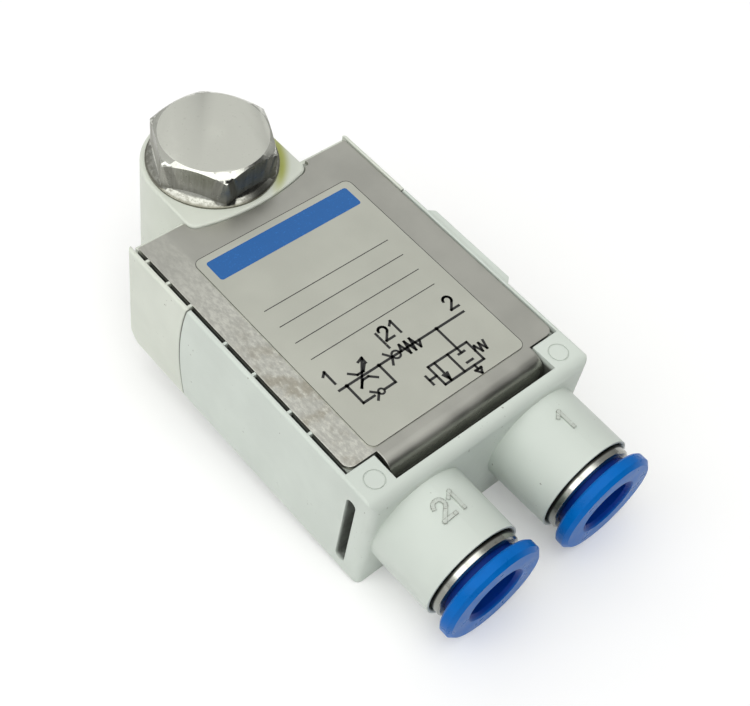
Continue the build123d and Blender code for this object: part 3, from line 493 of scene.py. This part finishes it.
def scuffed_plastic(name, base, scuff_and_shade):
    """The mouldings' plastic on the raised port numbers, dark along its rubbed edges."""
    finish = Finish(name)
    rounded, edge = finish.rounded_edge(0.10 * MM)
    patch = finish.noise(1500.0, 4.0, 0.65)
    rubbed = edge * 0.5 + 0.25
    tone = finish.blend(rubbed * finish.fade(patch, 0.35, 0.6, 0.4, 1.0), base, scuff_and_shade)
    normal = finish.bump(patch, 0.01 * MM, 0.4, rounded)
    rough = finish.fade(patch, 0.3, 0.7, 0.40, 0.52)
    return finish.principled(Base_Color=tone, Roughness=rough, Normal=normal)


def inner_plastic(name, base):
    """Plain moulded plastic of the inner pieces."""
    finish = Finish(name)
    flow = finish.noise(900.0, 3.0, 0.6)
    tone = finish.blend(finish.fade(flow, 0.3, 0.7), [c * 0.9 for c in base], base)
    normal = finish.bump(finish.noise(5000.0, 2.0), 0.01 * MM, 0.4)
    return finish.principled(Base_Color=tone, Roughness=finish.fade(flow, 0.3, 0.7, 0.38, 0.5), Normal=normal)


def turned_metal(name, base, roughness):
    """Turned or drawn metal of the small inner pieces."""
    finish = Finish(name)
    rounded = finish.rounded_edge(0.07 * MM)[0]
    marks = finish.noise(2400.0, 4.0, 0.65)
    tone = finish.blend(finish.fade(marks, 0.35, 0.7), [c * 0.85 for c in base], base)
    rough = finish.fade(marks, 0.3, 0.7, roughness - 0.06, roughness + 0.08)
    normal = finish.bump(marks, 0.012 * MM, 0.5, rounded)
    return finish.principled(Base_Color=tone, Roughness=rough, Normal=normal, Metallic=1.0)


def seal_rubber(name, base):
    """Matt black rubber with a light bloom."""
    finish = Finish(name)
    bloom = finish.noise(1500.0, 4.0, 0.6)
    tone = finish.blend(finish.fade(bloom, 0.45, 0.75), base, [c * 2.6 for c in base])
    normal = finish.bump(bloom, 0.01 * MM, 0.5)
    return finish.principled(Base_Color=tone, Roughness=finish.fade(bloom, 0.3, 0.7, 0.5, 0.7), Normal=normal)


def print_ink(name, base):
    """Screen-printed ink with slightly uneven cover."""
    finish = Finish(name)
    cover = finish.noise(4200.0, 3.0, 0.6)
    tone = finish.blend(finish.fade(cover, 0.55, 0.8), base, [c * 1.5 + 0.01 for c in base])
    return finish.principled(Base_Color=tone, Roughness=finish.fade(cover, 0.3, 0.7, 0.42, 0.55))


def all_finishes(colours):
    """The maker of every finish, by the finish's name."""
    return {
        "housing_plastic": lambda n: moulded_plastic(n, colours.housing, colours),
        "banjo_plastic": lambda n: moulded_plastic(n, colours.boss, colours, stained=True),
        "cover_sheet": lambda n: cover_sheet(n, colours.sheet, colours.sheet_stain),
        "label_foil": lambda n: label_foil(n, colours.foil),
        "nickel_plate": lambda n: nickel(n, colours.nickel, colours.scuff_and_shade),
        "bolt_nickel": lambda n: bolt_nickel(n, colours.nickel, colours.scuff_and_shade, colours.dark_reflection_and_shade),
        "release_blue": lambda n: acetal(n, colours.ring, colours.ring_shade),
        "scuffed_plastic": lambda n: scuffed_plastic(n, colours.housing, colours.scuff_and_shade),
        "inner_plastic": lambda n: inner_plastic(n, colours.inner),
        "button_plastic": lambda n: inner_plastic(n, colours.button),
        "brass": lambda n: turned_metal(n, colours.brass, 0.26),
        "spring_steel": lambda n: turned_metal(n, colours.steel, 0.30),
        "nitrile_rubber": lambda n: seal_rubber(n, colours.rubber),
        "black_ink": lambda n: print_ink(n, colours.ink),
        "blue_ink": lambda n: print_ink(n, colours.print_blue),
    }


def finish_named(name):
    """The finish of that name, made the first time that it is asked for."""
    known = bpy.data.materials.get("valve_" + name)
    if known is not None:
        return known
    return all_finishes(bpy.context.scene.valve_finishes)[name]("valve_" + name)


def add_piece(name, mesh, body, slot, finish, *replaced):
    """Make a finished mesh a piece of the valve that rides on a body."""
    if not mesh.polygons:
        raise RuntimeError(f"{name} came out empty")
    piece = bpy.data.objects.new(name, mesh)
    bpy.context.scene.collection.objects.link(piece)
    mesh.materials.clear()
    mesh.materials.append(finish_named(finish))
    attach(piece, body)
    if replaced:
        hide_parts(*replaced)
    return piece


def mesh_from(bm, name, smooth_angle=None, outward=True):
    """Close a bmesh as a mesh, with its faces turned outwards and smooth below the angle given."""
    if outward:
        bmesh.ops.recalc_face_normals(bm, faces=bm.faces)
    mesh = bpy.data.meshes.new(name)
    bm.to_mesh(mesh)
    bm.free()
    if smooth_angle is not None:
        mesh.polygons.foreach_set("use_smooth", [True] * len(mesh.polygons))
        mesh.set_sharp_from_angle(angle=radians(smooth_angle))
    return mesh


def merged_copy(node):
    """A bmesh of a CAD node with its loose triangles joined."""
    bm = bmesh.new()
    bm.from_mesh(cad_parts[node].data)
    bmesh.ops.remove_doubles(bm, verts=bm.verts, dist=0.0005 * MM)
    return bm


def strip(bm, start, end, width, height, thickness):
    """A flat printed line from one point to another, standing on a height."""
    start, end = Vector(start), Vector(end)
    along = end - start
    turn = Matrix.Rotation(atan2(along.y, along.x), 4, "Z")
    middle = (start + end) / 2
    place = Matrix.Translation((middle.x, middle.y, height)) @ turn
    plate = bmesh.ops.create_grid(bm, x_segments=1, y_segments=1, size=0.5)["verts"]
    bmesh.ops.transform(bm, verts=plate, matrix=place @ Matrix.Diagonal((along.length + width, width, 1, 1)))
    thicken(bm, plate, thickness)


def thicken(bm, plate, thickness):
    """Raise the faces of a flat plate into a closed slab."""
    faces = list({face for vert in plate for face in vert.link_faces})
    raised = bmesh.ops.extrude_face_region(bm, geom=faces, use_keep_orig=True)["geom"]
    top = [item for item in raised if isinstance(item, bmesh.types.BMVert)]
    bmesh.ops.translate(bm, verts=top, vec=(0, 0, thickness))


def disc(bm, centre, radius, height, thickness, inner=0.0, sides=32):
    """A flat printed dot, or a ring when it has an inner radius."""
    place = Matrix.Translation((centre[0], centre[1], height))
    if not inner:
        round_plate = {"cap_ends": True, "radius": radius, "segments": sides, "matrix": place}
        plate = bmesh.ops.create_circle(bm, **round_plate)["verts"]
        thicken(bm, plate, thickness)
        return
    rail = [bm.verts.new((centre[0] + r, centre[1], height)) for r in (inner, radius)]
    edge = bm.edges.new(rail)
    full_turn = {"axis": Z_AXIS, "angle": 2 * pi, "steps": sides, "use_merge": True}
    bmesh.ops.spin(bm, geom=[edge], cent=(centre[0], centre[1], height), **full_turn)
    ring = {v for start in rail if start.is_valid for face in start.link_faces for v in face.verts}
    grown = set()
    while len(grown) != len(ring):
        grown = set(ring)
        ring |= {v for known in grown for face in known.link_faces for v in face.verts}
    thicken(bm, list(ring), thickness)


def digit_stroke(digit):
    """The stroke of a port number, one unit high, as points from its start to its end."""
    if digit == "1":
        return [(-0.20, 0.28), (0.06, 0.5), (0.06, -0.5)]
    bow = [(0.28 * cos(radians(turn)), 0.22 + 0.28 * sin(radians(turn))) for turn in range(170, -51, -20)]
    return [*bow, (-0.30, -0.5), (0.32, -0.5)]


def write_number(bm, number, centre, size, width, height, thickness):
    """Port numbers drawn with round-ended strokes, side by side about a centre."""
    spacing = 0.8 * size
    for place, digit in enumerate(number):
        middle = centre[0] + (place - (len(number) - 1) / 2) * spacing
        points = [(middle + x * size, centre[1] + y * size) for x, y in digit_stroke(digit)]
        for start, end in zip(points, points[1:]):
            strip(bm, start, end, width, height, thickness)
        for point in points:
            disc(bm, point, width / 2, height, thickness * 0.97, sides=16)


class Pen:
    """Draws printed lines and dots on the label, in millimetres from where it was last moved to."""

    def __init__(self, bm, ink, height):
        self.bm = bm
        self.ink = ink
        self.height = height
        self.start = Vector((0, 0))

    def move(self, x, y):
        self.start = Vector((x, y))

    def line(self, *points, width=None):
        places = [self.start + Vector(point) * MM for point in points]
        for start, end in zip(places, places[1:]):
            strip(self.bm, start, end, width or self.ink.line, self.height, self.ink.thickness)

    def dot(self, point, radius, inner=0.0):
        place = self.start + Vector(point) * MM
        disc(self.bm, place, radius * MM, self.height, self.ink.thickness, inner * MM)


class VALVE_OT_studio(bpy.types.Operator):
    """Make the camera, the pale floor and the soft studio light"""

    bl_idname = "valve.studio"
    bl_label = "Studio"

    def execute(self, context):
        studio = context.scene.valve_studio
        self.camera(context, studio)
        self.floor(context, studio)
        self.sky(context, studio)
        self.lamp(context, studio)
        context.scene.view_settings.view_transform = "Standard"
        return {"FINISHED"}

    def camera(self, context, studio):
        data = bpy.data.cameras.new("camera")
        data.sensor_width = 36
        data.sensor_fit = "HORIZONTAL"
        data.lens = studio.lens
        data.clip_start = 0.005
        camera = bpy.data.objects.new("camera", data)
        context.scene.collection.objects.link(camera)
        turn = Vector(studio.camera_turn)
        ahead = Matrix.Rotation(turn.length, 3, turn.normalized())
        right, down, forward = ahead
        axes = Matrix((right, -down, -forward)).transposed().to_4x4()
        camera.matrix_world = Matrix.Translation(studio.camera_place) @ axes
        context.scene.camera = camera

    def floor(self, context, studio):
        """A level sheet under the tilted valve, which bends down well in front of it."""
        bend_start, bend_end, bend_slope = -85 * MM, -150 * MM, 0.35
        bm = bmesh.new()
        bmesh.ops.create_grid(bm, x_segments=8, y_segments=360, size=studio.floor_half)
        for vert in bm.verts:
            y = vert.co.y
            vert.co.z = studio.floor_touch_z - studio.floor_slope * (y - studio.floor_touch_y)
            past = bend_start - y
            if past > 0:
                share = min(past / (bend_start - bend_end), 1)
                vert.co.z -= (studio.floor_slope + bend_slope) * past * share
        mesh = mesh_from(bm, "floor", 180, outward=False)
        floor = bpy.data.objects.new("floor", mesh)
        context.scene.collection.objects.link(floor)
        mesh.materials.append(self.floor_finish(studio))

    def floor_finish(self, studio):
        finish = Finish("floor_white")
        path = finish.add("ShaderNodeLightPath")
        seen = path["Is Camera Ray"].math("MAXIMUM", path["Is Camera Ray"], path["Is Glossy Ray"])
        seen = seen.math("MAXIMUM", seen, path["Is Transmission Ray"])
        paint = finish.add("ShaderNodeBsdfDiffuse", None, {"Color": studio.floor_colour})[0]
        white = {"Color": (1, 1, 1), "Strength": seen * studio.floor_lift}
        glow = finish.add("ShaderNodeEmission", None, white)[0]
        sheet = finish.add("ShaderNodeAddShader", None, {0: paint, 1: glow})[0]
        clear = finish.add("ShaderNodeBsdfTransparent")[0]
        under = finish.add("ShaderNodeNewGeometry")["Backfacing"] * path["Is Camera Ray"]
        shader = finish.add("ShaderNodeMixShader", None, {0: under, 1: sheet, 2: clear})[0]
        finish.add("ShaderNodeOutputMaterial", None, {"Surface": shader})
        return finish.material

    def sky(self, context, studio):
        """Soft light all round with a softbox and two dark places, and plain white to the camera."""
        world = bpy.data.worlds.new("studio_sky")
        world.use_nodes = True
        context.scene.world = world
        sky = Finish("studio_sky", world.node_tree)
        toward = sky.add("ShaderNodeTexCoord")["Generated"]
        up = sky.axes(toward)[2]
        softbox = self.lobe(sky, toward, studio.softbox_toward, 40, 22)
        wall = self.lobe(sky, toward, studio.wall_toward, 32, 20)
        gap = self.lobe(sky, toward, studio.gap_toward, 20, 8)
        ahead = self.nearness(sky, toward, (studio.wall_toward[0], studio.wall_toward[1], 0))
        around = sky.fade(up, 0.0, 0.6, 0.75, 1.0) * sky.fade(ahead, -0.2, 0.85, 1.12, 0.72)
        light = around * studio.sky_level + softbox * studio.softbox_level
        level = light * (1.0 - wall * 0.95) * (1.0 - gap * 0.8)
        seen = sky.add("ShaderNodeLightPath")["Is Camera Ray"]
        strength = seen + (1.0 - seen) * level
        shade = sky.blend(seen, studio.sky_colour, (1, 1, 1))
        light = sky.add("ShaderNodeBackground", None, {"Color": shade, "Strength": strength})[0]
        sky.add("ShaderNodeOutputWorld", None, {"Surface": light})

    def lobe(self, sky, toward, middle, outer, inner):
        """A soft round patch of sky between two angles from its middle, in degrees."""
        return sky.fade(self.nearness(sky, toward, middle), cos(radians(outer)), cos(radians(inner)))

    def nearness(self, sky, toward, middle):
        """The cosine of the angle between each direction of the sky and a middle."""
        sockets = {0: toward, 1: Vector(middle).normalized()}
        return sky.add("ShaderNodeVectorMath", {"operation": "DOT_PRODUCT"}, sockets)["Value"]

    def lamp(self, context, studio):
        data = bpy.data.lights.new("key_lamp", "AREA")
        data.energy = studio.key_watts
        data.shape = "DISK"
        data.size = studio.key_size
        place = Vector(studio.key_place)
        lamp = bpy.data.objects.new("key_lamp", data)
        lamp.matrix_world = Matrix.Translation(place) @ place.to_track_quat("Z", "Y").to_matrix().to_4x4()
        context.scene.collection.objects.link(lamp)


class VALVE_OT_finishes(bpy.types.Operator):
    """Give every CAD node the finish of its material slot"""

    bl_idname = "valve.finishes"
    bl_label = "Finishes"

    def execute(self, context):
        for name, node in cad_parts.items():
            for holder in node.material_slots:
                holder.material = finish_named(holder.material.name.split(".")[0])
        return {"FINISHED"}


class VALVE_OT_hollow_bolt(bpy.types.Operator):
    """Cut the G1/8 thread on a copy of the hollow bolt"""

    bl_idname = "valve.hollow_bolt"
    bl_label = "Hollow bolt"

    def execute(self, context):
        thread = context.scene.valve_thread
        bm = merged_copy("hollow_bolt")
        self.turn_down(bm, thread)
        self.ridge(bm, thread)
        mesh = mesh_from(bm, "threaded_bolt", 12, outward=False)
        add_piece("threaded_bolt", mesh, "hollow_bolt", "nickel_plate", "bolt_nickel", "hollow_bolt")
        return {"FINISHED"}

    def turn_down(self, bm, thread):
        """Bring the plain stud down to the thread's root."""
        share = thread.root_radius / thread.crest_radius
        middle = (thread.root_radius + thread.crest_radius) / 2
        stud = [v for v in bm.verts if v.co.z < thread.top + 0.01 * MM and v.co.xy.length > middle]
        bmesh.ops.scale(bm, verts=stud, vec=(share, share, 1))

    def ridge(self, bm, thread):
        """Wind the thread's ridge round the stud, from its chamfered start to its run-out."""
        steps_a_turn = 72
        root, crest = thread.root_radius - 0.12 * MM, thread.crest_radius
        half_root, half_crest = thread.pitch * 0.46, thread.pitch * 0.07
        start = bolt_low.z + half_root
        outline = ((root, -half_root), (crest, -half_crest), (crest, half_crest), (root, half_root))
        verts = [bm.verts.new((radius, 0, start + rise)) for radius, rise in outline]
        face = bm.faces.new(verts)
        turns = (thread.top - half_root - start) / thread.pitch
        steps = int(turns * steps_a_turn)
        known = set(bm.verts) - set(verts)
        bmesh.ops.spin(
            bm,
            geom=[face, *face.edges, *verts],
            axis=Z_AXIS,
            cent=(0, 0, 0),
            dvec=(0, 0, thread.pitch / steps_a_turn),
            angle=2 * pi * steps / steps_a_turn,
            steps=steps,
        )
        wound = [v for v in bm.verts if v not in known]
        for vert in wound:
            lead_in = thread.root_radius + (vert.co.z - bolt_low.z) - 0.2 * MM
            run_out = thread.root_radius + (thread.top - vert.co.z) * 0.9
            limit = min(lead_in, run_out)
            radius = vert.co.xy.length
            if radius > limit:
                vert.co.xy *= limit / radius
        bmesh.ops.recalc_face_normals(bm, faces=list({f for v in wound for f in v.link_faces}))


class VALVE_OT_label_print(bpy.types.Operator):
    """Print the label: a plain blue bar, blank fields, a flow diagram and the port numbers"""

    bl_idname = "valve.label_print"
    bl_label = "Label print"

    def execute(self, context):
        ink = context.scene.valve_print
        self.height = label_high.z - 0.002 * MM
        self.bar(ink)
        self.drawing(ink)
        # A painted shadow round the label's edge.
        self.outline(ink)
        return {"FINISHED"}

    def bar(self, ink):
        bm = bmesh.new()
        y = ink.bar_y
        reach = ink.bar_half_width - ink.bar_half_depth
        strip(bm, (-reach, y), (reach, y), 2 * ink.bar_half_depth, self.height, ink.thickness)
        corners = [e for e in bm.edges if abs((e.verts[0].co - e.verts[1].co).z) > ink.thickness / 2]
        bmesh.ops.bevel(
            bm, geom=corners, offset=0.35 * MM, offset_type="OFFSET", segments=5, profile=0.5, affect="EDGES",
            material=-1,
        )
        add_piece("label_bar", mesh_from(bm, "label_bar"), "housing", "label_foil", "blue_ink")

    def outline(self, ink):
        """A thin black strip round the label's edge, a painted shadow of the label's thickness."""
        bm = merged_copy("rating_label")
        under = [f for f in bm.faces if f.normal.z < 0.9]
        bmesh.ops.delete(bm, geom=under, context="FACES")
        bmesh.ops.dissolve_faces(bm, faces=bm.faces)
        inset = {"thickness": 0.06 * MM, "use_boundary": True, "use_even_offset": True}
        border = set(bmesh.ops.inset_region(bm, faces=bm.faces, **inset)["faces"])
        bmesh.ops.delete(bm, geom=[f for f in bm.faces if f not in border], context="FACES")
        thicken(bm, list(bm.verts), ink.thickness)
        # Painted shadow, in the black ink finish.
        add_piece("label_edge_shadow", mesh_from(bm, "label_edge_shadow"), "housing", "label_foil", "black_ink")

    def drawing(self, ink):
        """A plain flow diagram: a throttle with a bypass, a piloted check valve and a two-position vent."""
        bm = bmesh.new()
        pen = Pen(bm, ink, self.height)
        pen.move(0, ink.main_line_y)
        pen.line((ink.line_left / MM, 0), (ink.line_right / MM, 0))
        pen.move(ink.throttle_x, ink.main_line_y)
        self.throttle(pen)
        self.bypass(pen, ink.bypass_drop / MM)
        pen.move(ink.check_x, ink.main_line_y)
        self.check_valve(pen)
        pen.move(ink.vent_x, ink.main_line_y - ink.vent_drop)
        self.vent_valve(pen, ink.vent_drop / MM)
        for field in range(4):
            pen.move(0, ink.field_y - field * ink.field_step)
            pen.line((-8.8, 0), (8.6, 0), width=ink.thin_line)
        number_y = ink.main_line_y + 1.8 * MM
        places = {"1": (-8.9 * MM, number_y), "2": (8.2 * MM, number_y)}
        places["21"] = (0.4 * MM, number_y + 1.0 * MM)
        for number, place in places.items():
            write_number(bm, number, place, ink.digit, ink.line, self.height, ink.thickness)
        add_piece("label_drawing", mesh_from(bm, "label_drawing"), "housing", "label_foil", "black_ink")

    def throttle(self, pen):
        """Two curved jaws with an arrow across them."""
        for side in (1, -1):
            pen.line((-1.1, side * 1.05), (-0.4, side * 0.4), (0.4, side * 0.4), (1.1, side * 1.05))
        pen.line((-1.1, -1.1), (1.3, 1.7))
        pen.line((0.7, 1.6), (1.35, 1.8), (1.3, 1.1))

    def bypass(self, pen, drop):
        """The way round the throttle, with its check valve."""
        pen.line((-2.2, 0), (-2.2, -drop), (-0.7, -drop))
        pen.line((-0.7, 0.6 - drop), (-0.1, -drop), (-0.7, -0.6 - drop))
        pen.dot((0.25, -drop), 0.46, 0.22)
        pen.line((0.7, -drop), (2.2, -drop), (2.2, 0))
        for end in (-2.2, 2.2):
            pen.dot((end, 0), 0.24)

    def check_valve(self, pen):
        """A ball on its seat with a spring behind it and a dashed pilot line."""
        pen.dot((0, 0), 0.62, 0.36)
        pen.line((-1.1, 0.8), (-0.55, 0), (-1.1, -0.8))
        zigzag = [(0.7 + 0.36 * step, 0.75 if step % 2 else -0.75) for step in range(1, 7)]
        pen.line((0.7, 0), *zigzag, (3.3, 0))
        for step in range(4):
            pen.line((0, 1.1 + 0.62 * step), (0, 1.4 + 0.62 * step))

    def vent_valve(self, pen, drop):
        """Two positions side by side, with a button, a spring and an open exhaust."""
        half_width, half_height, port = 2.8, 1.35, 1.4
        corners = [(-half_width, -half_height), (half_width, -half_height)]
        corners += [(half_width, half_height), (-half_width, half_height)]
        pen.line(*corners, corners[0])
        pen.line((0, -half_height), (0, half_height))
        pen.line((port, half_height), (port, drop))
        pen.dot((port, drop), 0.24)
        pen.line((-1.9, half_height), (-1.9, -half_height))
        pen.line((-2.2, -0.35), (-1.9, -1.15), (-1.6, -0.35))
        for y in (0.65, -0.65):
            pen.line((port - 0.4, y), (port + 0.4, y))
        pen.line((port, 0.65), (port, half_height))
        pen.line((-half_width, 0), (-half_width - 1.0, 0))
        pen.line((-half_width - 1.0, 0.6), (-half_width - 1.0, -0.6))
        zigzag = [(half_width + 0.32 * step, 0.5 if step % 2 else -0.5) for step in range(1, 6)]
        pen.line((half_width, 0), *zigzag)
        pen.line((port, -half_height), (port, -1.95))
        pen.line((port - 0.4, -1.95), (port + 0.4, -1.95), (port, -2.55), (port - 0.4, -1.95))


class VALVE_OT_port_numbers(bpy.types.Operator):
    """Raise the port numbers on the tops of the two barrels"""

    bl_idname = "valve.port_numbers"
    bl_label = "Port numbers"

    def execute(self, context):
        ink = context.scene.valve_print
        for number, x in (("21", -port_x), ("1", port_x)):
            bm = bmesh.new()
            write_number(bm, number, (0, 0), ink.barrel_digit, ink.barrel_line, 0, 0.35 * MM)
            for _ in range(2):
                long_edges = [e for e in bm.edges if e.calc_length() > 0.4 * MM]
                bmesh.ops.subdivide_edges(bm, edges=long_edges, cuts=1)
            for vert in bm.verts:
                angle = vert.co.x / barrel_radius
                reach = barrel_radius + ink.barrel_digit_proud + vert.co.z - 0.35 * MM
                y = vert.co.y + ink.barrel_digit_y
                vert.co = (x + reach * sin(angle), y, port_z + reach * cos(angle))
            name = "port_number_" + number
            add_piece(name, mesh_from(bm, name), "housing", "housing_plastic", "scuffed_plastic")
        return {"FINISHED"}


class VALVE_PT_panel(bpy.types.Panel):
    """The valve's pieces and settings"""

    bl_label = "Valve"
    bl_idname = "VALVE_PT_panel"
    bl_space_type = "VIEW_3D"
    bl_region_type = "UI"
    bl_category = "Valve"

    def draw(self, context):
        for operator in OPERATORS:
            self.layout.operator(operator.bl_idname)
        for name, group in GROUPS.items():
            box = self.layout.box()
            for key in group.__annotations__:
                box.prop(getattr(context.scene, name), key)


GROUPS = {
    "valve_studio": ValveStudio,
    "valve_finishes": ValveFinishes,
    "valve_print": ValvePrint,
    "valve_thread": ValveThread,
}
OPERATORS = (
    VALVE_OT_studio,
    VALVE_OT_finishes,
    VALVE_OT_hollow_bolt,
    VALVE_OT_label_print,
    VALVE_OT_port_numbers,
)


def register():
    for group in (*GROUPS.values(), *OPERATORS, VALVE_PT_panel):
        bpy.utils.register_class(group)
    for name, group in GROUPS.items():
        setattr(bpy.types.Scene, name, bpy.props.PointerProperty(type=group))


def unregister():
    for name in GROUPS:
        delattr(bpy.types.Scene, name)
    for group in (VALVE_PT_panel, *reversed(OPERATORS), *GROUPS.values()):
        bpy.utils.unregister_class(group)


def main():
    register()
    for operator in OPERATORS:
        family, name = operator.bl_idname.split(".")
        getattr(getattr(bpy.ops, family), name)()


if __name__ == "__main__":
    main()
